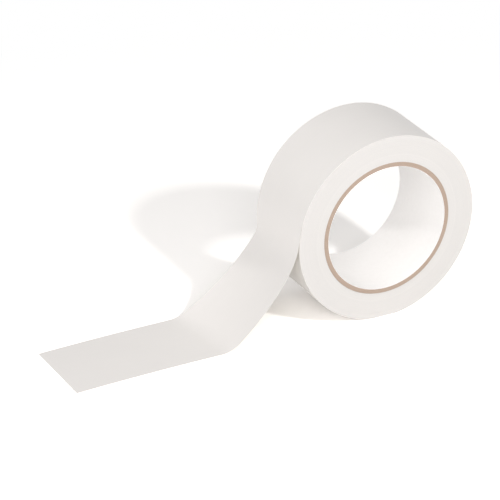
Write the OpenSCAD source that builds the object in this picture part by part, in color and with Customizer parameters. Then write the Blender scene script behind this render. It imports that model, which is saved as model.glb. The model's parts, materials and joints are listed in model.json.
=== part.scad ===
// Roll of floor marking tape: a paper core, the wound tape and a tail that runs off along the floor.
// The axis of the roll is Y, its bore is centred on the origin, and the tail leaves towards -X.

/* [Tape] */
// Width of the tape, and length of the core
tape_width = 50; // [25:1:75]
// Length of tape wound on the roll, without the tail
wound_length = 32800; // [20000:100:66000]
// Thickness of the vinyl film
film_t = 0.12; // [0.08:0.01:0.2]
// Thickness of the adhesive coat under the film
adhesive_t = 0.03; // [0.02:0.005:0.06]

/* [Core] */
// Bore of the core
core_bore = 76; // [70:0.5:80]
// Thickness of the white paper that lines the bore
liner_t = 0.14; // [0.1:0.02:0.4]
// Thickness of one ply of kraft board
ply_t = 0.64; // [0.4:0.04:0.88]
// Number of kraft plies
ply_count = 4; // [2:1:6]

/* [Tail] */
// Angle below the widest point of the roll at which the tape leaves it
peel_angle = 0; // [-5:1:15]
// Radius of the bend where the tape turns away from the roll
lift_bend_r = 28; // [15:1:40]
// Slope of the tape below that bend, in degrees from the floor
lift_slope = 53; // [48:1:65]
// Radius of the bend where the tape comes down to the floor
floor_bend_r = 32; // [15:1:50]
// Slope of the tape above that bend, in degrees from the floor
floor_slope = 38; // [25:1:44]
// Length of tape that lies flat on the floor
flat_length = 79; // [30:1:200]

/* [Fits] */
// Gap between the roll and the stretch of tape that leaves it
peel_gap = 0.2; // [0.1:0.05:0.5]
// Gap between two stretches of the tail where the tape flexes
flex_gap = 0.3; // [0.2:0.05:0.5]
// Gap between the end of the outer turn and the line where the tape leaves the roll
turn_gap = 0.6; // [0.45:0.05:1]
// Depth of the flat that the roll stands on
stand_flat = 0.5; // [0.3:0.1:1]

/* [Hidden] */
$fn = 180;

film_white = [0.93, 0.92, 0.9];
adhesive_cream = [0.9, 0.88, 0.82];
kraft_brown = [0.79, 0.69, 0.61];
liner_white = [0.94, 0.93, 0.91];

// Core and winding
bore_r = core_bore / 2;
core_r = bore_r + liner_t + ply_count * ply_t;
tape_t = film_t + adhesive_t;
// Radius of the roll, to a hundredth of a millimetre, from the area of the wound tape
roll_r = round(100 * sqrt(pow(core_r, 2) + wound_length * tape_t / PI)) / 100;
stand_h = roll_r - stand_flat;

// The outer turn is a spiral of two half circles, whose centres lie this far either side of the axis
spiral_shift = tape_t / 4;
// Radii of the winding under the outer turn, below and above the line where the tape leaves
lower_r = roll_r - 5 * spiral_shift;
upper_r = roll_r - 3 * spiral_shift;
// Furthest that the outer turn reaches from the axis
reach_r = roll_r + 2 * spiral_shift;

// Underside of the tail: three bends to the same side, one into the next, then the flat.
// A bend's angles are those of its radius, so the tape slopes at 90 degrees more.
tail_r = reach_r + peel_gap;
lift_turn = lift_slope - 90;
floor_turn = floor_slope - 90;
// Radius of the gentle bend between the other two, which brings the tail down to the floor
span_drop = stand_h - tail_r * sin(peel_angle)
    - lift_bend_r * (cos(lift_slope) + sin(peel_angle))
    - floor_bend_r * (1 - cos(floor_slope));
span_bend_r = span_drop / (cos(floor_slope) - cos(lift_slope));
lift_centre = -(tail_r + lift_bend_r) * radius_at(peel_angle);
span_centre = lift_centre + (lift_bend_r - span_bend_r) * radius_at(lift_turn);
floor_centre = span_centre + (span_bend_r - floor_bend_r) * radius_at(floor_turn);

// The tape flexes half way round the first and the last bend
lift_flex = (peel_angle + lift_turn) / 2;
floor_flex = (floor_turn - 90) / 2;
lift_flex_half = flex_gap / lift_bend_r * 90 / PI;
floor_flex_half = flex_gap / floor_bend_r * 90 / PI;
// Places of those two lines in X and Z, in the middle of the tape's thickness
lift_flex_line = lift_centre + (lift_bend_r - tape_t / 2) * radius_at(lift_flex);
floor_flex_line = floor_centre + (floor_bend_r - tape_t / 2) * radius_at(floor_flex);

tail_length = lift_bend_r * (peel_angle - lift_turn) * PI / 180
    + span_bend_r * (lift_turn - floor_turn) * PI / 180
    + floor_bend_r * floor_slope * PI / 180
    + flat_length;

// Each stretch of the tail, as bends with their centre, radius, first angle and last angle
root_bends = [
    [lift_centre, lift_bend_r, peel_angle, lift_flex + lift_flex_half]
];
span_bends = [
    [lift_centre, lift_bend_r, lift_flex - lift_flex_half, lift_turn],
    [span_centre, span_bend_r, lift_turn, floor_turn],
    [floor_centre, floor_bend_r, floor_turn, floor_flex + floor_flex_half]
];
end_bends = [
    [floor_centre, floor_bend_r, floor_flex - floor_flex_half, -90]
];
// Largest angle between two points of a bend
bend_step_angle = 1.5;

function radius_at(angle) = [cos(angle), sin(angle)];

// Points round a bend, without the last one, which the next bend starts from
function bend_points(centre, r, start, stop) =
    let (steps = ceil((start - stop) / bend_step_angle))
    [for (k = [0:steps - 1]) centre + r * radius_at(start + (stop - start) * k / steps)];

// Line along a stretch of the tail, a given height above its underside
function stretch_line(bends, flat, height) =
    let (
        last = bends[len(bends) - 1],
        foot = last[0] + (last[1] - height) * radius_at(last[3])
    )
    concat(
        [for (b = bends) each bend_points(b[0], b[1] - height, b[2], b[3])],
        [foot],
        flat > 0 ? [foot - [flat, 0]] : []
    );

function backwards(points) = [for (i = [len(points) - 1:-1:0]) points[i]];

// Point of the outer turn at an angle from its start, a given height above the winding
function turn_point(angle, height) =
    angle < 180
        ? [spiral_shift, 0] + (lower_r + height) * radius_at(angle - 180)
        : [-spiral_shift, 0] + (upper_r + height) * radius_at(angle - 180);

// Least gap of the outer turn to itself, from the top of its start to the underside of its end
turn_stop = 360 - turn_gap / upper_r * 180 / PI;
turn_self_gap = min([
    for (start = [0:0.5:20], back = [0:0.5:20])
        norm(turn_point(start, tape_t) - turn_point(turn_stop - back, 0))
]);
echo(least_gap_of_outer_turn = turn_self_gap);
echo(roll_diameter = 2 * roll_r, tail_length = tail_length, floor_below_axis = stand_h);
echo(lift_flex_line = lift_flex_line, floor_flex_line = floor_flex_line);

// Side view, drawn in X and Z, made as wide as the tape
module across_tape() {
    rotate([90, 0, 0])
        linear_extrude(tape_width, center = true)
            children();
}

module ring(inner_r, outer_r) {
    across_tape()
        difference() {
            circle(outer_r);
            circle(inner_r);
        }
}

// Half of a disc, above or below its own centre
module half_disc(r, shift, above) {
    translate([shift, 0])
        intersection() {
            circle(r);
            translate([-2 * roll_r, above ? 0 : -2 * roll_r])
                square([4 * roll_r, 2 * roll_r]);
        }
}

// Outline of the wound tape, flat where it stands, a given height above the winding
module wound_outline(height) {
    intersection() {
        rotate(peel_angle)
            union() {
                half_disc(lower_r + height, spiral_shift, false);
                half_disc(upper_r + height, -spiral_shift, true);
            }
        translate([-2 * roll_r, tape_t - stand_h - height])
            square(4 * roll_r);
    }
}

// One layer of the outer turn, between two heights above the winding
module outer_turn(from, to) {
    across_tape()
        difference() {
            wound_outline(to);
            wound_outline(from);
            rotate(peel_angle)
                translate([-reach_r - tape_t, 0])
                    square([4 * tape_t, turn_gap]);
        }
}

// One layer of a stretch of the tail, between two heights above its underside
module tail_stretch(bends, flat, from, to) {
    across_tape()
        polygon(concat(
            stretch_line(bends, flat, from),
            backwards(stretch_line(bends, flat, to))
        ));
}

module core_liner() {
    color(liner_white)
        ring(bore_r, bore_r + liner_t);
}

module core_ply(i) {
    color(kraft_brown)
        ring(bore_r + liner_t + (i - 1) * ply_t, bore_r + liner_t + i * ply_t);
}

module tape_winding() {
    color(film_white)
        across_tape()
            difference() {
                wound_outline(0);
                circle(core_r);
            }
}

module outer_turn_adhesive() {
    color(adhesive_cream)
        outer_turn(0, adhesive_t);
}

module outer_turn_film() {
    color(film_white)
        outer_turn(adhesive_t, tape_t);
}

module tail_root_adhesive() {
    color(adhesive_cream)
        tail_stretch(root_bends, 0, 0, adhesive_t);
}

module tail_root_film() {
    color(film_white)
        tail_stretch(root_bends, 0, adhesive_t, tape_t);
}

module tail_span_adhesive() {
    color(adhesive_cream)
        tail_stretch(span_bends, 0, 0, adhesive_t);
}

module tail_span_film() {
    color(film_white)
        tail_stretch(span_bends, 0, adhesive_t, tape_t);
}

module tail_end_adhesive() {
    color(adhesive_cream)
        tail_stretch(end_bends, flat_length, 0, adhesive_t);
}

module tail_end_film() {
    color(film_white)
        tail_stretch(end_bends, flat_length, adhesive_t, tape_t);
}

core_liner();
for (i = [1:ply_count])
    core_ply(i);
tape_winding();
outer_turn_adhesive();
outer_turn_film();
tail_root_adhesive();
tail_root_film();
tail_span_adhesive();
tail_span_film();
tail_end_adhesive();
tail_end_film();
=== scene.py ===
"""A roll of floor marking tape on a paper core, its tail bent down to the floor and laid flat."""

import json
from math import cos, pi, radians, sin, tau

import bpy
import numpy as np
from bpy.props import FloatProperty, FloatVectorProperty, IntProperty, PointerProperty
from bpy.types import Operator, Panel, PropertyGroup
from mathutils import Matrix, Vector

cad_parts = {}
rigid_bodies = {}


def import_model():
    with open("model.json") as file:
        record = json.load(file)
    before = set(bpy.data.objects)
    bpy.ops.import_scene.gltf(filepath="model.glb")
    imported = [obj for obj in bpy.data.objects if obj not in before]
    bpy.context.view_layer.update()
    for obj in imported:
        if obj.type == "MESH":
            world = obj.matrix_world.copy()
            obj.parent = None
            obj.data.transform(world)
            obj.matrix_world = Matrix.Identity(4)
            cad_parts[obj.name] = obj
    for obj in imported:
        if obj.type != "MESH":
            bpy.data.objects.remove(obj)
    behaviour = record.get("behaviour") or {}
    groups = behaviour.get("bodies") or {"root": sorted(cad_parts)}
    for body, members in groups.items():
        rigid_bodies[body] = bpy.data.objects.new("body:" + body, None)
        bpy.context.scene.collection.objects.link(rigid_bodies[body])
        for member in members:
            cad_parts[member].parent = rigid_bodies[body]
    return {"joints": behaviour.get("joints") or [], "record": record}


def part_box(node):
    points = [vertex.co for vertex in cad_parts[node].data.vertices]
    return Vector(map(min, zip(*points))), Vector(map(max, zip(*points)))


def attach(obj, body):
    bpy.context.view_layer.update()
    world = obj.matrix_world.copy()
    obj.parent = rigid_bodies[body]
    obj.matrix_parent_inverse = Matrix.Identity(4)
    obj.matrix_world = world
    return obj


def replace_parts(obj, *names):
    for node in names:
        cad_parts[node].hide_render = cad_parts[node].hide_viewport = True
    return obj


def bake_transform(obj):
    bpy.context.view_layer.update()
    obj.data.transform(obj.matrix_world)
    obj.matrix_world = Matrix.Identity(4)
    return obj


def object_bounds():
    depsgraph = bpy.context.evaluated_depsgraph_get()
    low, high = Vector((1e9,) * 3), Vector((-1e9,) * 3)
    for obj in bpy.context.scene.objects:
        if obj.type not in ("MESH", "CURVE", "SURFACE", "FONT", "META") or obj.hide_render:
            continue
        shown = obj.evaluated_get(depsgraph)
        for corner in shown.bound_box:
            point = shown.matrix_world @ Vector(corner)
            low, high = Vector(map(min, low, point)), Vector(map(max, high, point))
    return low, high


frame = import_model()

bl_info = {
    "name": "Floor tape roll",
    "version": (1, 0, 0),
    "blender": (4, 5, 0),
    "location": "View3D > Sidebar > Tape roll",
    "description": "Dresses the packed tape roll: core, winding, outer turn, tail and stage",
    "category": "Object",
}

# Sizes that the frame gives
PLIES = ("core_ply_1", "core_ply_2", "core_ply_3", "core_ply_4")
BORE = next(m for m in frame["record"]["mounts"] if m["name"] == "core_bore")
BORE_RADIUS = BORE["dims"]["r_mm"] / 1000
TAPE_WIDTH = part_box("tape_winding")[1].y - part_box("tape_winding")[0].y
CORE_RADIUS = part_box(PLIES[-1])[1].x
ROLL_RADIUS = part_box("outer_turn_film")[1].x
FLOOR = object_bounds()[0].z

# The outer turn runs from 9 o'clock along the floor, up and over the top to 9 o'clock again, where
# the spiral's angle is this.
PEEL_ANGLE = 3 * pi

# Edges of a mesh that are sharper than this are shown sharp.
SHARP_ANGLE = radians(35)

# Parts of the tail's two lengths, from the roll to the cut end, with the steps along each
UPPER_PARTS = {"held": 24, "lift": 60, "span_top": 16}
LOWER_PARTS = {"span_foot": 16, "floor": 40, "flat": 50}
# Side lines across the tail's width, and points that measure one part of a side line
LINES_ACROSS = 25
MEASURE_POINTS = 40

# Lamps, by the setting that holds their power: width, azimuth and elevation in degrees, distance
LAMPS = {
    "key": (0.12, 13, 37, 1.5),
    "front": (0.9, -35, 25, 1.6),
    "side": (0.9, -80, 25, 1.6),
}
WHITE = (1.0, 1.0, 1.0, 1.0)
# The floor as light meets it, half its width, and its gap below the part, which keeps faces apart
FLOOR_COLOUR = (0.9, 0.9, 0.9)
FLOOR_HALF = 4.0
FLOOR_GAP = 0.00004


class TapeSizes(PropertyGroup):
    """Sizes of the tape and of the way it is wound."""

    width: FloatProperty(
        name="Width",
        description="Width of the tape",
        default=TAPE_WIDTH,
        unit="LENGTH",
        precision=5,
    )
    film: FloatProperty(
        name="Film",
        description="Thickness of the vinyl film",
        default=0.00012,
        unit="LENGTH",
        precision=6,
    )
    adhesive: FloatProperty(
        name="Adhesive",
        description="Thickness of the adhesive under the film",
        default=0.00003,
        unit="LENGTH",
        precision=6,
    )
    steps: IntProperty(
        name="Steps in a turn",
        description="Straight steps that make one of the inner turns",
        default=120,
        min=24,
    )
    outer_steps: IntProperty(
        name="Steps in the outer turn",
        description="Straight steps that make the outer turn",
        default=480,
        min=24,
    )
    wander: FloatProperty(
        name="Wander",
        description="How far a turn strays sideways from the one below it",
        default=0.00004,
        unit="LENGTH",
        precision=6,
    )
    bulge: FloatProperty(
        name="Cut edge bulge",
        description="How far the cut edge of the tape stands out between its two faces",
        default=0.000012,
        unit="LENGTH",
        precision=6,
    )
    seed: IntProperty(
        name="Seed",
        description="Seed of the winding's wander",
        default=7,
    )


class CoreSizes(PropertyGroup):
    """Sizes of the wound paper core."""

    steps_around: IntProperty(
        name="Steps around",
        description="Straight steps round a paper layer",
        default=300,
        min=24,
    )
    steps_across: IntProperty(
        name="Steps across",
        description="Steps from one end of a paper layer to the other",
        default=40,
        min=4,
    )
    strip_pitch: FloatProperty(
        name="Strip pitch",
        description="Length of core that one turn of a paper strip covers",
        default=0.11,
        unit="LENGTH",
    )
    seam_gap: FloatProperty(
        name="Seam gap",
        description="Gap between the edges of a strip, turn against turn",
        default=0.00018,
        unit="LENGTH",
        precision=6,
    )
    seam_start: FloatProperty(
        name="Seam start",
        description="Angle of the liner's seam at the middle of the core",
        default=radians(40),
        subtype="ANGLE",
    )
    seam_step: FloatProperty(
        name="Seam step",
        description="Angle from the seam of one layer to that of the next",
        default=radians(77),
        subtype="ANGLE",
    )
    end_fray: FloatProperty(
        name="End fray",
        description="How uneven the sawn ends of the board are",
        default=0.00007,
        unit="LENGTH",
        precision=6,
    )
    edge_round: FloatProperty(
        name="Edge rounding",
        description="Rounding of the edges of each paper layer",
        default=0.00005,
        unit="LENGTH",
        precision=6,
    )
    seed: IntProperty(
        name="Seed",
        description="Seed of the frayed ends",
        default=3,
    )


class TailShape(PropertyGroup):
    """Bends of the free tail. Its angles and radii in pairs are those of its near and far edge."""

    peel: FloatVectorProperty(
        name="Peel angle",
        description="How far below the roll's axis each edge leaves the roll",
        default=(radians(-5.06), radians(5.14)),
        size=2,
        unit="ROTATION",
    )
    lift_radius: FloatVectorProperty(
        name="Upper bend",
        description="Radius of the bend at the roll",
        default=(0.0508, 0.0138),
        size=2,
        unit="LENGTH",
    )
    lift_slope: FloatVectorProperty(
        name="Upper slope",
        description="Slope of the tail below the upper bend, from level",
        default=(radians(60.6), radians(54.3)),
        size=2,
        unit="ROTATION",
    )
    floor_slope: FloatVectorProperty(
        name="Lower slope",
        description="Slope of the tail above the lower bend, from level",
        default=(radians(40.2), radians(30.3)),
        size=2,
        unit="ROTATION",
    )
    floor_radius: FloatVectorProperty(
        name="Lower bend",
        description="Radius of the bend at the floor",
        default=(0.0188, 0.0217),
        size=2,
        unit="LENGTH",
    )
    tip: FloatProperty(
        name="Tip",
        description="Distance of the cut end from the roll's axis, along the floor",
        default=0.19575,
        unit="LENGTH",
        precision=5,
    )
    held: FloatProperty(
        name="Held arc",
        description="Arc above the axis over which the tail's first part still lies on the roll",
        default=radians(12),
        subtype="ANGLE",
    )
    clearance: FloatProperty(
        name="Clearance",
        description="Gap between the outer turn and the held part of the tail on top of it",
        default=0.00001,
        unit="LENGTH",
        precision=6,
    )
    thin_start: FloatProperty(
        name="Thin start",
        description="Share of the thickness with which the held part starts, so that no step shows",
        default=0.08,
        min=0,
        max=1,
        subtype="FACTOR",
    )
    sway: FloatProperty(
        name="Sway",
        description="Sideways slope with which the tail leaves the roll",
        default=0.0391,
    )
    sway_return: FloatProperty(
        name="Sway return",
        description="Distance from the peel at which the tail crosses its own middle line again",
        default=0.1128,
        unit="LENGTH",
    )
    lift_fold: FloatVectorProperty(
        name="Upper fold",
        description="Start and end of the fold at the roll, along the tape from its joint",
        default=(-0.003, 0.009),
        size=2,
        unit="LENGTH",
    )
    floor_fold: FloatVectorProperty(
        name="Lower fold",
        description="Start and end of the fold at the floor, along the tape from its joint",
        default=(-0.006, 0.006),
        size=2,
        unit="LENGTH",
    )


class Colours(PropertyGroup):
    """Base colours of the finishes."""

    film: FloatVectorProperty(
        name="Film",
        description="Face of the vinyl film",
        default=(0.83, 0.797, 0.769),
        size=3,
        subtype="COLOR",
        min=0,
        max=1,
    )
    film_edge: FloatVectorProperty(
        name="Film edge",
        description="Cut edge of the film, on the sides of the roll",
        default=(0.66, 0.635, 0.618),
        size=3,
        subtype="COLOR",
        min=0,
        max=1,
    )
    adhesive: FloatVectorProperty(
        name="Adhesive",
        description="Tacky face of the tape",
        default=(0.78, 0.74, 0.64),
        size=3,
        subtype="COLOR",
        min=0,
        max=1,
    )
    board: FloatVectorProperty(
        name="Board",
        description="Brown board of the core",
        default=(0.435, 0.333, 0.266),
        size=3,
        subtype="COLOR",
        min=0,
        max=1,
    )
    liner: FloatVectorProperty(
        name="Liner",
        description="White paper inside the core",
        default=(0.97, 0.948, 0.93),
        size=3,
        subtype="COLOR",
        min=0,
        max=1,
    )


class StageSettings(PropertyGroup):
    """Camera, lamps and floor."""

    azimuth: FloatProperty(
        name="Azimuth",
        description="Angle of the camera round the roll, from the front",
        default=radians(-30.998),
        subtype="ANGLE",
    )
    elevation: FloatProperty(
        name="Elevation",
        description="Angle of the camera above the floor",
        default=radians(26.333),
        subtype="ANGLE",
    )
    distance: FloatProperty(
        name="Distance",
        description="Distance of the camera from the roll's middle",
        default=1.83697,
        unit="LENGTH",
    )
    turn: FloatVectorProperty(
        name="Camera turn",
        description="Pitch, yaw and roll of the camera after it faces the roll's middle",
        default=(radians(-0.767), radians(2.027), radians(1.849)),
        size=3,
        subtype="EULER",
    )
    lens: FloatProperty(
        name="Lens",
        description="Focal length on a 36 mm sensor",
        default=230.78,
        subtype="DISTANCE_CAMERA",
    )
    sky: FloatProperty(
        name="Sky",
        description="Strength of the even light from all round",
        default=0.379,
    )
    key: FloatProperty(
        name="Key lamp",
        description="Power of the small lamp in front that throws the long shadow",
        default=9.5,
        subtype="POWER",
    )
    front: FloatProperty(
        name="Front lamp",
        description="Power of the wide lamp beside the camera",
        default=10.8,
        subtype="POWER",
    )
    side: FloatProperty(
        name="Side lamp",
        description="Power of the wide lamp on the tail's side",
        default=5.0,
        subtype="POWER",
    )
    floor_seen: FloatVectorProperty(
        name="Floor seen",
        description="Colour of the floor as it is seen, bright enough to meet the white background",
        default=(1.5, 1.465, 1.435),
        size=3,
        subtype="COLOR",
        min=0,
        soft_max=2,
    )
    floor_fade: FloatVectorProperty(
        name="Floor fade",
        description="Distances from the roll between which the floor fades into the background",
        default=(0.24, 0.42),
        size=2,
        unit="LENGTH",
    )


class Number:
    """A number that nodes work out. The usual signs add the math node that stands for them."""

    def __init__(self, bench, socket):
        self.bench = bench
        self.socket = socket

    def __add__(self, other):
        return self.bench.math("ADD", self, other)

    def __sub__(self, other):
        return self.bench.math("SUBTRACT", self, other)

    def __rsub__(self, other):
        return self.bench.math("SUBTRACT", other, self)

    def __mul__(self, other):
        return self.bench.math("MULTIPLY", self, other)

    def __truediv__(self, other):
        return self.bench.math("DIVIDE", self, other)


class Bench:
    """Adds nodes to a tree and joins them."""

    def __init__(self, tree):
        self.tree = tree

    def feed(self, socket, value):
        """Links a socket or a number, or sets a plain value."""
        value = getattr(value, "socket", value)
        if isinstance(value, bpy.types.NodeSocket):
            self.tree.links.new(value, socket)
        else:
            socket.default_value = value

    def add(self, kind, inputs=None, **settings):
        node = self.tree.nodes.new(kind)
        for setting, value in settings.items():
            setattr(node, setting, value)
        for name, value in (inputs or {}).items():
            self.feed(node.inputs[name], value)
        return node

    def math(self, operation, *values):
        node = self.add("ShaderNodeMath", operation=operation)
        for socket, value in zip(node.inputs, values):
            self.feed(socket, value)
        return Number(self, node.outputs[0])

    def vector(self, x, y, z):
        return self.add("ShaderNodeCombineXYZ", {"X": x, "Y": y, "Z": z}).outputs[0]

    def attribute(self, name):
        return Number(self, self.add("ShaderNodeAttribute", attribute_name=name).outputs["Fac"])

    def object_place(self):
        return self.add("ShaderNodeTexCoord").outputs["Object"]

    def noise(self, vector, scale, detail):
        inputs = {"Vector": vector, "Scale": scale, "Detail": detail}
        return Number(self, self.add("ShaderNodeTexNoise", inputs).outputs["Fac"])

    def tape_noise(self, along, across, layer, detail):
        """Noise over the tape's own length and width, with so many cells to the metre each way."""
        lengthwise, sideways = self.attribute("along"), self.attribute("across")
        place = self.vector(lengthwise * along, sideways * across, layer)
        return self.noise(place, scale=1.0, detail=detail)

    def between(self, factor, low, high):
        """A colour between two, by a factor from 0 to 1."""
        node = self.add("ShaderNodeMix", data_type="RGBA")
        self.feed(node.inputs["Factor"], factor)
        for socket, value in zip((s for s in node.inputs if s.type == "RGBA"), (low, high)):
            self.feed(socket, value if hasattr(value, "links") else (*value, 1))
        return next(s for s in node.outputs if s.type == "RGBA")

    def tones(self, factor, colour, low, high):
        """Tones of one colour, from a low share of its lightness to a high one."""
        return self.between(factor, shaded(colour, low), shaded(colour, high))

    def spread(self, value, low, high):
        """A 0 to 1 number, spread over low to high."""
        return value * (high - low) + low


def shaded(colour, share):
    """The colour made lighter or darker by a share."""
    return tuple(min(1.0, c * share) for c in colour)


# Materials


def new_material(name):
    """An empty material with its bench and its main shader."""
    material = bpy.data.materials.new(name)
    material.use_nodes = True
    material.node_tree.nodes.clear()
    bench = Bench(material.node_tree)
    shader = bench.add("ShaderNodeBsdfPrincipled")
    output = bench.add("ShaderNodeOutputMaterial")
    bench.feed(output.inputs["Surface"], shader.outputs["BSDF"])
    return material, bench, shader


def finish_shader(bench, shader, colour, roughness, height, depth, strength):
    """Feeds the shader its colour and roughness, and a bump of the given depth."""
    bump = bench.add("ShaderNodeBump", {"Height": height, "Distance": depth, "Strength": strength})
    bench.feed(shader.inputs["Base Color"], colour)
    bench.feed(shader.inputs["Roughness"], roughness)
    bench.feed(shader.inputs["Normal"], bump.outputs["Normal"])


def film_material(name, colours):
    """Satin vinyl with faint lengthwise rolling marks and a fine grain."""
    material, bench, shader = new_material(name)
    streak = bench.tape_noise(along=30, across=700, layer=0, detail=3.0)
    cloud = bench.tape_noise(along=50, across=70, layer=4, detail=3.0)
    grain = bench.tape_noise(along=3200, across=3200, layer=9, detail=2.0)
    relief = streak * 0.5 + grain * 0.5
    finish_shader(
        bench,
        shader,
        colour=bench.tones(cloud * 0.6 + streak * 0.4, colours.film, low=0.975, high=1.02),
        roughness=bench.spread(relief, low=0.36, high=0.56),
        height=relief,
        depth=0.00003,
        strength=0.35,
    )
    shader.inputs["IOR"].default_value = 1.53
    return material


def edge_material(name, colours):
    """Cut edges of the wound tape: each turn a little off the next, with its line of adhesive."""
    material, bench, shader = new_material(name)
    place = bench.object_place()
    turn = bench.attribute("turn")
    turn = bench.add("ShaderNodeTexWhiteNoise", {"W": turn}, noise_dimensions="1D")
    glue = bench.math("LESS_THAN", bench.attribute("height"), 0.2)
    scuff = bench.noise(place, scale=260, detail=4.0)
    edge = bench.tones(turn.outputs["Value"], colours.film_edge, low=0.965, high=1.03)
    edge = bench.between(scuff * 0.1, edge, shaded(colours.film_edge, 0.85))
    finish_shader(
        bench,
        shader,
        colour=bench.between(glue * 0.35, edge, tuple(colours.adhesive)),
        roughness=bench.spread(scuff, low=0.5, high=0.7),
        height=bench.noise(place, scale=5200, detail=2.0),
        depth=0.00003,
        strength=0.3,
    )
    return material


def adhesive_material(name, colours):
    """Tacky face of the tape, a little yellow, with a fine orange peel."""
    material, bench, shader = new_material(name)
    dimples = bench.tape_noise(along=1400, across=1400, layer=0, detail=2.0)
    cloud = bench.tape_noise(along=90, across=90, layer=3, detail=3.0)
    finish_shader(
        bench,
        shader,
        colour=bench.tones(cloud, colours.adhesive, low=0.95, high=1.05),
        roughness=bench.spread(dimples, low=0.22, high=0.42),
        height=dimples,
        depth=0.00004,
        strength=0.5,
    )
    return material


def board_material(name, colours):
    """Brown core board with fibres, dark flecks and a rough sawn face."""
    material, bench, shader = new_material(name)
    place = bench.object_place()
    around, depth = bench.attribute("around"), bench.attribute("depth")
    fibre = bench.noise(bench.vector(around * 500, depth * 4, 0), scale=1.0, detail=4.0)
    fleck = bench.noise(place, scale=2100, detail=3.0)
    fleck = bench.math("SMOOTH_MAX", fleck - 0.6, 0.0, 0.05) * 2.5
    tone = bench.tones(fibre, colours.board, low=0.84, high=1.16)
    finish_shader(
        bench,
        shader,
        colour=bench.between(fleck, tone, shaded(colours.board, 0.55)),
        roughness=bench.spread(fibre, low=0.82, high=0.95),
        height=bench.noise(place, scale=3600, detail=4.0),
        depth=0.00008,
        strength=0.6,
    )
    shader.inputs["Specular IOR Level"].default_value = 0.25
    return material


def liner_material(name, colours):
    """Matt white paper with a soft cloudy formation and a faint tooth."""
    material, bench, shader = new_material(name)
    place = bench.object_place()
    cloud = bench.noise(place, scale=420, detail=4.0)
    tooth = bench.noise(place, scale=2600, detail=4.0)
    finish_shader(
        bench,
        shader,
        colour=bench.tones(cloud, colours.liner, low=0.965, high=1.03),
        roughness=bench.spread(tooth, low=0.7, high=0.85),
        height=tooth * 0.6 + cloud * 0.4,
        depth=0.00005,
        strength=0.4,
    )
    return material


FINISHES = {
    "satin_vinyl": film_material,
    "wound_edges": edge_material,
    "tacky_face": adhesive_material,
    "sawn_board": board_material,
    "white_liner": liner_material,
}


def material_of(finish):
    """The material of one finish, made once."""
    found = bpy.data.materials.get(finish)
    return found or FINISHES[finish](finish, bpy.context.scene.tape_colours)


# Node trees


def new_tree(name, inputs):
    """An empty geometry tree with named inputs, its bench, and those inputs as numbers."""
    tree = bpy.data.node_groups.new(name, "GeometryNodeTree")
    for label, kind in inputs.items():
        tree.interface.new_socket(label, in_out="INPUT", socket_type="NodeSocket" + kind)
    tree.interface.new_socket("Mesh", in_out="OUTPUT", socket_type="NodeSocketGeometry")
    bench = Bench(tree)
    given = bench.add("NodeGroupInput").outputs
    return tree, bench, {label: Number(bench, given[label]) for label in inputs}


def strip_blank(bench, along, across, through):
    """A closed blank of one metre each way, and its place from -0.5 to 0.5 as three numbers."""
    blank = bench.add(
        "GeometryNodeMeshCube",
        {"Size": (1, 1, 1), "Vertices X": along, "Vertices Y": across, "Vertices Z": through},
    )
    place = bench.add("GeometryNodeInputPosition").outputs[0]
    axes = bench.add("ShaderNodeSeparateXYZ", {"Vector": place})
    return blank.outputs["Mesh"], *(Number(bench, axis) for axis in axes.outputs)


def round_axis(bench, radius, angle, across):
    """A place round the Y axis, at a distance along it."""
    x, z = radius * bench.math("COSINE", angle), radius * bench.math("SINE", angle)
    return bench.vector(x, across, z)


def close_tree(bench, mesh, position, attributes, material):
    """Stores the attributes, moves the blank into place and ends the tree."""
    for name, value in attributes.items():
        store = bench.add(
            "GeometryNodeStoreNamedAttribute",
            {"Geometry": mesh, "Name": name, "Value": value},
            data_type="FLOAT",
            domain="POINT",
        )
        mesh = store.outputs["Geometry"]
    for kind, inputs in (
        ("GeometryNodeSetPosition", {"Position": position}),
        ("GeometryNodeSetShadeSmooth", {}),
        ("GeometryNodeRealizeInstances", {}),
        ("GeometryNodeSetMaterial", {"Material": material}),
    ):
        mesh = bench.add(kind, {"Geometry": mesh, **inputs}).outputs["Geometry"]
    bench.feed(bench.add("NodeGroupOutput").inputs["Mesh"], mesh)


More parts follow.
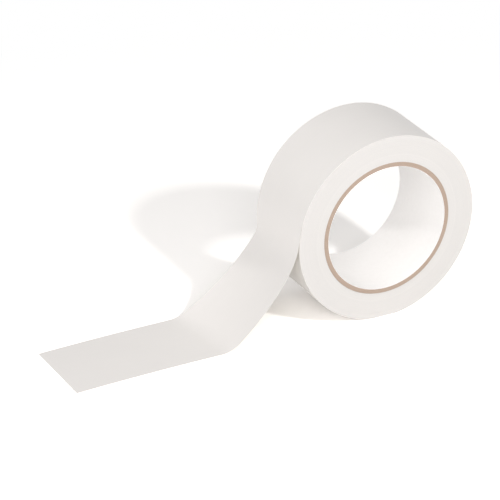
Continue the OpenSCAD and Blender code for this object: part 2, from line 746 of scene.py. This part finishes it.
def wound_strip_tree():
    """Winds a flat strip round the Y axis as a spiral that stands on a flat."""
    tree, bench, given = new_tree(
        "wound_strip",
        {
            "Steps": "Int",
            "First Angle": "Float",
            "Last Angle": "Float",
            "Last Radius": "Float",
            "Pitch": "Float",
            "Thickness": "Float",
            "Width": "Float",
            "Core Radius": "Float",
            "Stand Height": "Float",
            "Stand Radius": "Float",
            "Wander": "Float",
            "Bulge": "Float",
            "Seed": "Int",
            "Material": "Material",
        },
    )
    mesh, x, y, z = strip_blank(bench, given["Steps"] + 1, 2, 3)
    angle = given["First Angle"] + (given["Last Angle"] - given["First Angle"]) * (x + 0.5)
    turns_left = (given["Last Angle"] - angle) / tau
    height = z + 0.5
    radius = given["Last Radius"] - given["Pitch"] * turns_left + given["Thickness"] * height
    # Near the floor the turns are pressed towards the core, the outermost one down to the flat.
    towards_floor = bench.math("MAXIMUM", bench.math("SINE", angle) * -1, 0.5)
    past_flat = given["Stand Radius"] - given["Stand Height"] / towards_floor
    pressed = bench.math("MAXIMUM", past_flat, 0.0)
    share = (radius - given["Core Radius"]) / (given["Stand Radius"] - given["Core Radius"])
    radius = radius - pressed * share
    # The wander has about two and a third cells to a turn.
    stray = bench.add(
        "ShaderNodeTexNoise",
        {"W": angle * 0.37 + given["Seed"], "Scale": 1.0, "Detail": 3.0},
        noise_dimensions="1D",
    )
    stray = (Number(bench, stray.outputs["Fac"]) - 0.5) * given["Wander"] * 2
    bulge = (1 - z * z * 4) * given["Bulge"] * 2
    across = (given["Width"] + bulge) * y * -1
    attributes = {
        "along": (angle - given["Last Angle"]) * given["Last Radius"],
        "across": across,
        "height": height,
        "turn": bench.math("FLOOR", turns_left),
    }
    place = round_axis(bench, radius, angle, across + stray)
    close_tree(bench, mesh, place, attributes, given["Material"])
    return tree


def core_layer_tree():
    """Winds a paper strip into a tube: a helix whose own edges meet at one narrow seam."""
    tree, bench, given = new_tree(
        "core_layer",
        {
            "Steps Around": "Int",
            "Steps Across": "Int",
            "Inner Radius": "Float",
            "Thickness": "Float",
            "Width": "Float",
            "Strip Pitch": "Float",
            "Seam Gap": "Float",
            "Seam Angle": "Float",
            "End Fray": "Float",
            "Seed": "Int",
            "Material": "Material",
        },
    )
    mesh, x, y, z = strip_blank(bench, given["Steps Around"] + 1, given["Steps Across"] + 1, 2)
    depth = z + 0.5
    radius = given["Inner Radius"] + given["Thickness"] * depth
    sweep = tau - given["Seam Gap"] / given["Inner Radius"]
    lead = y * given["Width"] / given["Strip Pitch"] * tau
    angle = given["Seam Angle"] + sweep * (x + 0.5) + lead
    # Only the two ends fray, and mostly inwards.
    unrolled = bench.vector(angle * given["Inner Radius"], y, depth * 0.0003 + given["Seed"])
    at_end = bench.math("GREATER_THAN", bench.math("ABSOLUTE", y), 0.499)
    fray = (bench.noise(unrolled, scale=900.0, detail=3.0) - 0.75) * given["End Fray"] * at_end
    across = y * -1 * (given["Width"] + fray * 2)
    attributes = {"around": angle * given["Inner Radius"], "across": across, "depth": depth}
    place = round_axis(bench, radius, angle, across)
    close_tree(bench, mesh, place, attributes, given["Material"])
    return tree


def grow(name, tree, **values):
    """A plain mesh piece from a tree. Values are given by input name, with _ for each space."""
    carrier = bpy.data.objects.new(name + "_carrier", bpy.data.meshes.new(name + "_carrier"))
    bpy.context.scene.collection.objects.link(carrier)
    modifier = carrier.modifiers.new(tree.name, "NODES")
    modifier.node_group = tree
    sockets = {i.name: i.identifier for i in tree.interface.items_tree if i.in_out == "INPUT"}
    for label, value in values.items():
        modifier[sockets[label.replace("_", " ")]] = value
    depsgraph = bpy.context.evaluated_depsgraph_get()
    mesh = bpy.data.meshes.new_from_object(
        carrier.evaluated_get(depsgraph), preserve_all_data_layers=True, depsgraph=depsgraph
    )
    carrier.modifiers.clear()
    bpy.data.objects.remove(carrier)
    if not mesh.polygons:
        raise RuntimeError(f"the tree {tree.name} made no faces for {name}")
    mesh.materials.clear()
    mesh.materials.append(values["Material"])
    mesh.polygons.foreach_set("material_index", [0] * len(mesh.polygons))
    return new_piece(name, mesh)


def new_piece(name, mesh):
    """Links a mesh as a piece at the origin, smooth but for its real edges."""
    mesh.name = name
    mesh.set_sharp_from_angle(angle=SHARP_ANGLE)
    piece = bpy.data.objects.new(name, mesh)
    bpy.context.scene.collection.objects.link(piece)
    return piece


# Pieces


def tape_thickness(tape):
    return tape.film + tape.adhesive


def reach_radius(tape):
    """Outside radius of the tape where its tail leaves the roll."""
    return ROLL_RADIUS + tape_thickness(tape) / 2


class TAPE_OT_core(Operator):
    """Wind the paper core: four layers of brown board on a white liner"""

    bl_idname = "tape.add_core"
    bl_label = "Core"

    def execute(self, context):
        core = context.scene.tape_core
        tree = core_layer_tree()
        layers = [("core_liner", "white_liner", "liner_paper")]
        layers += [(ply, "sawn_board", "kraft_board") for ply in PLIES]
        inner = BORE_RADIUS
        for index, (node, finish, slot) in enumerate(layers):
            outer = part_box(node)[1].x
            piece = grow(
                node + "_wound",
                tree,
                Steps_Around=core.steps_around,
                Steps_Across=core.steps_across,
                Inner_Radius=inner,
                Thickness=outer - inner,
                Width=TAPE_WIDTH,
                Strip_Pitch=core.strip_pitch,
                Seam_Gap=core.seam_gap,
                Seam_Angle=core.seam_start + core.seam_step * index,
                End_Fray=core.end_fray,
                Seed=core.seed + index,
                Material=material_of(finish),
            )
            bevel = piece.modifiers.new("edge rounding", "BEVEL")
            bevel.width = core.edge_round
            bevel.segments = 2
            bevel.angle_limit = radians(50)
            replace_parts(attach(piece, "roll"), node)
            inner = outer
        return {"FINISHED"}


def wind(name, tape, first, last, low, thickness, steps, finish, wander, bulge):
    """A wound strip between two angles of the spiral, low above the tape's underside."""
    face, pitch = reach_radius(tape), tape_thickness(tape)
    return grow(
        name,
        bpy.data.node_groups.get("wound_strip") or wound_strip_tree(),
        Steps=steps,
        First_Angle=first,
        Last_Angle=last,
        Last_Radius=face - pitch - pitch * (PEEL_ANGLE - last) / tau + low,
        Pitch=pitch,
        Thickness=thickness,
        Width=tape.width,
        Core_Radius=CORE_RADIUS,
        Stand_Height=-FLOOR,
        # The outer turn comes to the floor three quarters of a turn before the peel.
        Stand_Radius=face - 0.75 * pitch,
        Wander=wander,
        Bulge=bulge,
        Seed=tape.seed,
        Material=material_of(finish),
    )


class TAPE_OT_winding(Operator):
    """Wind the inner turns of the tape on the core, one spiral strip"""

    bl_idname = "tape.add_winding"
    bl_label = "Inner turns"

    def execute(self, context):
        tape = context.scene.tape_sizes
        last = PEEL_ANGLE - context.scene.tape_tail.held - tau
        room = reach_radius(tape) - tape_thickness(tape) - CORE_RADIUS
        first = PEEL_ANGLE - tau * room / tape_thickness(tape)
        piece = wind(
            "tape_winding_turns",
            tape,
            first=first,
            last=last,
            low=0.0,
            thickness=tape_thickness(tape),
            steps=round((last - first) / tau * tape.steps),
            finish="wound_edges",
            wander=tape.wander,
            bulge=tape.bulge,
        )
        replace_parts(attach(piece, "roll"), "tape_winding")
        return {"FINISHED"}


class TAPE_OT_outer_turn(Operator):
    """Wind the outermost turn of the tape, film over adhesive"""

    bl_idname = "tape.add_outer_turn"
    bl_label = "Outer turn"

    def execute(self, context):
        tape = context.scene.tape_sizes
        last = PEEL_ANGLE - context.scene.tape_tail.held
        layers = (
            ("outer_turn_film", "satin_vinyl", "vinyl_film", tape.adhesive, tape.film, tape.bulge),
            ("outer_turn_adhesive", "tacky_face", "adhesive", 0.0, tape.adhesive, 0.0),
        )
        for node, finish, slot, low, thickness, bulge in layers:
            piece = wind(
                node + "_wound",
                tape,
                first=last - tau,
                last=last,
                low=low,
                thickness=thickness,
                steps=tape.outer_steps,
                finish=finish,
                wander=0.0,
                bulge=bulge,
            )
            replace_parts(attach(piece, "roll"), node)
        return {"FINISHED"}


def ray(angle):
    """The way at an angle from +X, in X and Z."""
    return np.array([cos(angle), sin(angle)])


class TailLine:
    """Side line of the tail at one share of its width: the arc on the roll, the bends, the flat."""

    def __init__(self, tail, under_radius, share):
        def at(pair):
            return pair[0] + (pair[1] - pair[0]) * share

        peel, lift_slope, floor_slope = at(tail.peel), at(tail.lift_slope), at(tail.floor_slope)
        lift_r, floor_r = at(tail.lift_radius), at(tail.floor_radius)
        lift_turn, floor_turn = lift_slope - pi / 2, floor_slope - pi / 2
        # The bend between the other two takes up the height that they leave.
        drop = -FLOOR - under_radius * sin(peel) - lift_r * (cos(lift_slope) + sin(peel))
        drop -= floor_r * (1 - cos(floor_slope))
        span_r = drop / (cos(floor_slope) - cos(lift_slope))
        lift_c = -(under_radius + lift_r) * ray(peel)
        span_c = lift_c + (lift_r - span_r) * ray(lift_turn)
        floor_c = span_c + (span_r - floor_r) * ray(floor_turn)
        middle = (lift_turn + floor_turn) / 2
        # Each bend: its centre, its radius, and the angles that it runs between.
        self.bends = {
            "held": (np.zeros(2), -under_radius, -tail.held, peel),
            "lift": (lift_c, lift_r, peel, lift_turn),
            "span_top": (span_c, span_r, lift_turn, middle),
            "span_foot": (span_c, span_r, middle, floor_turn),
            "floor": (floor_c, floor_r, floor_turn, -pi / 2),
        }
        # The flat runs from where the last bend touches the floor to the tip.
        self.touch, self.tip = floor_c[0], -tail.tip

    def points(self, part, shares):
        """Points of the underside along one part, and the ways from there to the film's face."""
        if part == "flat":
            x = self.touch + (self.tip - self.touch) * shares
            return np.stack([x, np.full(len(x), FLOOR)], 1), np.tile([0.0, 1.0], (len(x), 1))
        centre, radius, first, last = self.bends[part]
        angles = first + (last - first) * shares
        ways = np.stack([np.cos(angles), np.sin(angles)], 1)
        return centre + radius * ways, -ways

    def strip(self, parts):
        """Points and ways along some parts, each with its own steps, one part into the next."""
        found = [self.points(part, np.linspace(0, 1, steps + 1)) for part, steps in parts.items()]
        joined = [found[0]] + [(under[1:], ways[1:]) for under, ways in found[1:]]
        return tuple(np.concatenate(pieces) for pieces in zip(*joined))

    def length(self, parts):
        """Length along some parts."""
        shares = np.linspace(0, 1, MEASURE_POINTS)
        return sum(distances(self.points(part, shares)[0]).sum() for part in parts)


def distances(points):
    """Distances from each point to the next."""
    return np.linalg.norm(np.diff(points, axis=0), axis=1)


def tail_corners(tape, tail, lines, parts, low, high):
    """Corners of a strip of the tail, by row along it, line across it, and below or above.

    Each corner is its place, its distance along the strip and its distance across the tape."""
    columns = []
    for line, share in zip(lines, np.linspace(0, 1, len(lines))):
        under, ways = line.strip(parts)
        along = np.concatenate([[0.0], np.cumsum(distances(under))])
        rise = np.ones(len(under))
        if "held" in parts:
            start = np.linspace(0, 1, parts["held"] + 1)
            eased = start * start * (3 - 2 * start)
            rise[: len(start)] = tail.thin_start + (1 - tail.thin_start) * eased
        run = np.maximum(-ROLL_RADIUS - under[:, 0], 0)
        across = np.full(len(run), (share - 0.5) * tape.width)
        y = across + tail.sway * run * (1 - run / tail.sway_return)
        for height in (low, high):
            face = under + ways * (height * rise)[:, None]
            columns.append(np.stack([face[:, 0], y, face[:, 1], along, across], 1))
    return np.stack(columns, 1)


def closed_faces(rows, wide):
    """Faces of a closed strip, whose corners are numbered by row, line, and below or above."""
    index = np.arange(rows * wide * 2).reshape(rows, wide, 2)

    def quads(side):
        corners = [side[:-1, :-1], side[1:, :-1], side[1:, 1:], side[:-1, 1:]]
        return np.stack(corners, -1).reshape(-1, 4)

    faces = quads(index[:, :, 0]).tolist() + quads(index[:, :, 1])[:, ::-1].tolist()
    for wall in (index[:, 0], index[-1, :], index[::-1, -1], index[0, ::-1]):
        corners = [wall[:-1, 0], wall[:-1, 1], wall[1:, 1], wall[1:, 0]]
        faces += np.stack(corners, -1).tolist()
    return faces


def tail_strip(name, corners):
    """A closed strip of the tail from its corners, with the finish's two distances stored on it."""
    flat = corners.reshape(-1, 5)
    mesh = bpy.data.meshes.new(name)
    mesh.from_pydata(flat[:, :3].tolist(), [], closed_faces(len(corners), corners.shape[1] // 2))
    for label, values in (("along", flat[:, 3]), ("across", flat[:, 4])):
        attribute = mesh.attributes.new(label, "FLOAT", "POINT")
        attribute.data.foreach_set("value", values.astype(np.float32))
    mesh.shade_smooth()
    return new_piece(name, mesh)


class TAPE_OT_tail(Operator):
    """Lay the free tail, film over adhesive, in two lengths that meet half way down its slope"""

    bl_idname = "tape.add_tail"
    bl_label = "Tail"

    def execute(self, context):
        tape, tail = context.scene.tape_sizes, context.scene.tape_tail
        # The tail lies on top of the outer turn, so it clears the roll all the way round.
        under_radius = reach_radius(tape) + tail.clearance
        lines = [TailLine(tail, under_radius, s) for s in np.linspace(0, 1, LINES_ACROSS)]
        middle = lines[len(lines) // 2]
        layers = (
            ("film", "satin_vinyl", "vinyl_film", tape.adhesive, tape.film + tape.adhesive),
            ("adhesive", "tacky_face", "adhesive", 0.0, tape.adhesive),
        )
        # Each length has one bend, and takes the place of the parts on either side of its joint.
        lengths = (
            ("upper", UPPER_PARTS, "lift", "lift_flex", tail.lift_fold),
            ("lower", LOWER_PARTS, "floor", "floor_flex", tail.floor_fold),
        )
        for length, parts, bend, flex, fold in lengths:
            joint = next(j for j in frame["joints"] if j["name"] == flex)
            above, below = joint["parent"], joint["child"]
            first, last = middle.points(bend, np.array([0.0, 1.0]))[0]
            way = Vector((last[0] - first[0], 0, last[1] - first[1])).normalized()
            for layer, finish, slot, low, high in layers:
                corners = tail_corners(tape, tail, lines, parts, low, high)
                piece = tail_strip(f"tail_{length}_{layer}", corners)
                piece.data.materials.append(material_of(finish))
                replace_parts(piece, f"{above}_{layer}", f"{below}_{layer}")
                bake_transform(piece)
            float(middle.length(parts))
            "hung" if length == "upper" else "laid"
            ["outer_turn_film_wound"] if length == "upper" else ["floor"]
        return {"FINISHED"}


# Stage


def add_lamp(name, power, width, azimuth, elevation, distance):
    """A square lamp that faces the roll, its azimuth from the front, both angles in degrees."""
    azimuth, elevation = radians(azimuth), radians(elevation)
    data = bpy.data.lights.new(name, "AREA")
    data.energy = power
    data.size = width
    lamp = bpy.data.objects.new(name, data)
    bpy.context.scene.collection.objects.link(lamp)
    lamp.location = towards(azimuth, elevation) * distance
    lamp.rotation_mode = "QUATERNION"
    lamp.rotation_quaternion = (-lamp.location).to_track_quat("-Z", "Y")


def towards(azimuth, elevation):
    """The way from the roll's middle to a place round it."""
    level = cos(elevation)
    return Vector((sin(azimuth) * level, -cos(azimuth) * level, sin(elevation)))


def background_rays(bench):
    """1 for the rays that see the background: from the camera, off gloss or through glass."""
    path = bench.add("ShaderNodeLightPath").outputs
    seen = bench.math("MAXIMUM", path["Is Camera Ray"], path["Is Glossy Ray"])
    return bench.math("MAXIMUM", seen, path["Is Transmission Ray"])


def floor_material(stage):
    """Pale matt floor that keeps its shadow and fades to white away from the roll."""
    material, bench, shader = new_material("pale_floor")
    bench.tree.nodes.remove(shader)
    seen = background_rays(bench)
    colour = bench.between(seen, FLOOR_COLOUR, tuple(stage.floor_seen))
    matt = bench.add("ShaderNodeBsdfDiffuse", {"Color": colour})
    white = bench.add("ShaderNodeEmission", {"Color": WHITE, "Strength": 1.0})
    reach = bench.add("ShaderNodeVectorMath", {"Vector": bench.object_place()}, operation="LENGTH")
    near, far = stage.floor_fade
    fade = bench.add(
        "ShaderNodeMapRange",
        {"Value": reach.outputs["Value"], "From Min": near, "From Max": far},
        interpolation_type="SMOOTHSTEP",
    )
    mix = bench.add("ShaderNodeMixShader", {"Fac": seen * fade.outputs["Result"]})
    bench.feed(mix.inputs[1], matt.outputs["BSDF"])
    bench.feed(mix.inputs[2], white.outputs["Emission"])
    output = next(n for n in bench.tree.nodes if n.type == "OUTPUT_MATERIAL")
    bench.feed(output.inputs["Surface"], mix.outputs["Shader"])
    return material


class TAPE_OT_stage(Operator):
    """Set up the camera, the floor, the lamps and the even light from all round"""

    bl_idname = "tape.add_stage"
    bl_label = "Stage"

    def execute(self, context):
        scene, stage = context.scene, context.scene.tape_stage
        self.add_camera(scene, stage)
        self.add_floor(scene, stage)
        for name, lamp in LAMPS.items():
            add_lamp(name + "_lamp", getattr(stage, name), *lamp)
        self.add_sky(scene, stage)
        scene.view_settings.view_transform = "Standard"
        return {"FINISHED"}

    def add_camera(self, scene, stage):
        back = towards(stage.azimuth, stage.elevation)
        right = Vector((cos(stage.azimuth), sin(stage.azimuth), 0))
        facing = Matrix((right, back.cross(right), back)).transposed()
        pitch, yaw, roll = stage.turn
        turn = Matrix.Rotation(yaw, 3, "Y") @ Matrix.Rotation(pitch, 3, "X")
        turn = turn @ Matrix.Rotation(roll, 3, "Z")
        data = bpy.data.cameras.new("camera")
        data.lens = stage.lens
        data.sensor_width = 36
        data.clip_start, data.clip_end = 0.01, 50
        camera = bpy.data.objects.new("camera", data)
        camera.matrix_world = Matrix.Translation(back * stage.distance) @ (facing @ turn).to_4x4()
        scene.collection.objects.link(camera)
        scene.camera = camera

    def add_floor(self, scene, stage):
        mesh = bpy.data.meshes.new("floor")
        corners = [(-1, -1), (1, -1), (1, 1), (-1, 1)]
        level = FLOOR - FLOOR_GAP
        places = [(x * FLOOR_HALF, y * FLOOR_HALF, level) for x, y in corners]
        mesh.from_pydata(places, [], [(0, 1, 2, 3)])
        mesh.materials.append(floor_material(stage))
        ground = bpy.data.objects.new("floor", mesh)
        scene.collection.objects.link(ground)

    def add_sky(self, scene, stage):
        world = bpy.data.worlds.new("even_light")
        world.use_nodes = True
        world.node_tree.nodes.clear()
        bench = Bench(world.node_tree)
        light = bench.add("ShaderNodeBackground", {"Color": WHITE, "Strength": stage.sky})
        white = bench.add("ShaderNodeBackground", {"Color": WHITE, "Strength": 1.0})
        mix = bench.add("ShaderNodeMixShader", {"Fac": background_rays(bench)})
        bench.feed(mix.inputs[1], light.outputs["Background"])
        bench.feed(mix.inputs[2], white.outputs["Background"])
        output = bench.add("ShaderNodeOutputWorld")
        bench.feed(output.inputs["Surface"], mix.outputs["Shader"])
        scene.world = world


class TAPE_PT_sidebar(Panel):
    """Lists the pieces of the roll and their settings"""

    bl_idname = "TAPE_PT_sidebar"
    bl_label = "Tape roll"
    bl_space_type = "VIEW_3D"
    bl_region_type = "UI"
    bl_category = "Tape roll"

    def draw(self, context):
        for group, (_, operators) in GROUPS.items():
            box = self.layout.box()
            settings = getattr(context.scene, group)
            for name in settings.__annotations__:
                box.prop(settings, name)
            for operator in operators:
                box.operator(operator.bl_idname)


# Settings by their name on the scene, each with the operators that the sidebar shows below them
GROUPS = {
    "tape_core": (CoreSizes, (TAPE_OT_core,)),
    "tape_sizes": (TapeSizes, (TAPE_OT_winding, TAPE_OT_outer_turn)),
    "tape_tail": (TailShape, (TAPE_OT_tail,)),
    "tape_colours": (Colours, ()),
    "tape_stage": (StageSettings, (TAPE_OT_stage,)),
}


def register():
    for name, (settings, operators) in GROUPS.items():
        bpy.utils.register_class(settings)
        setattr(bpy.types.Scene, name, PointerProperty(type=settings))
        for operator in operators:
            bpy.utils.register_class(operator)
    bpy.utils.register_class(TAPE_PT_sidebar)


def unregister():
    bpy.utils.unregister_class(TAPE_PT_sidebar)
    for name, (settings, operators) in reversed(GROUPS.items()):
        for operator in reversed(operators):
            bpy.utils.unregister_class(operator)
        delattr(bpy.types.Scene, name)
        bpy.utils.unregister_class(settings)


def main():
    """Registers the settings and dresses the part."""
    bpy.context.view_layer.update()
    register()
    bpy.ops.tape.add_core()
    bpy.ops.tape.add_winding()
    bpy.ops.tape.add_outer_turn()
    bpy.ops.tape.add_tail()
    bpy.ops.tape.add_stage()


if __name__ == "__main__":
    main()
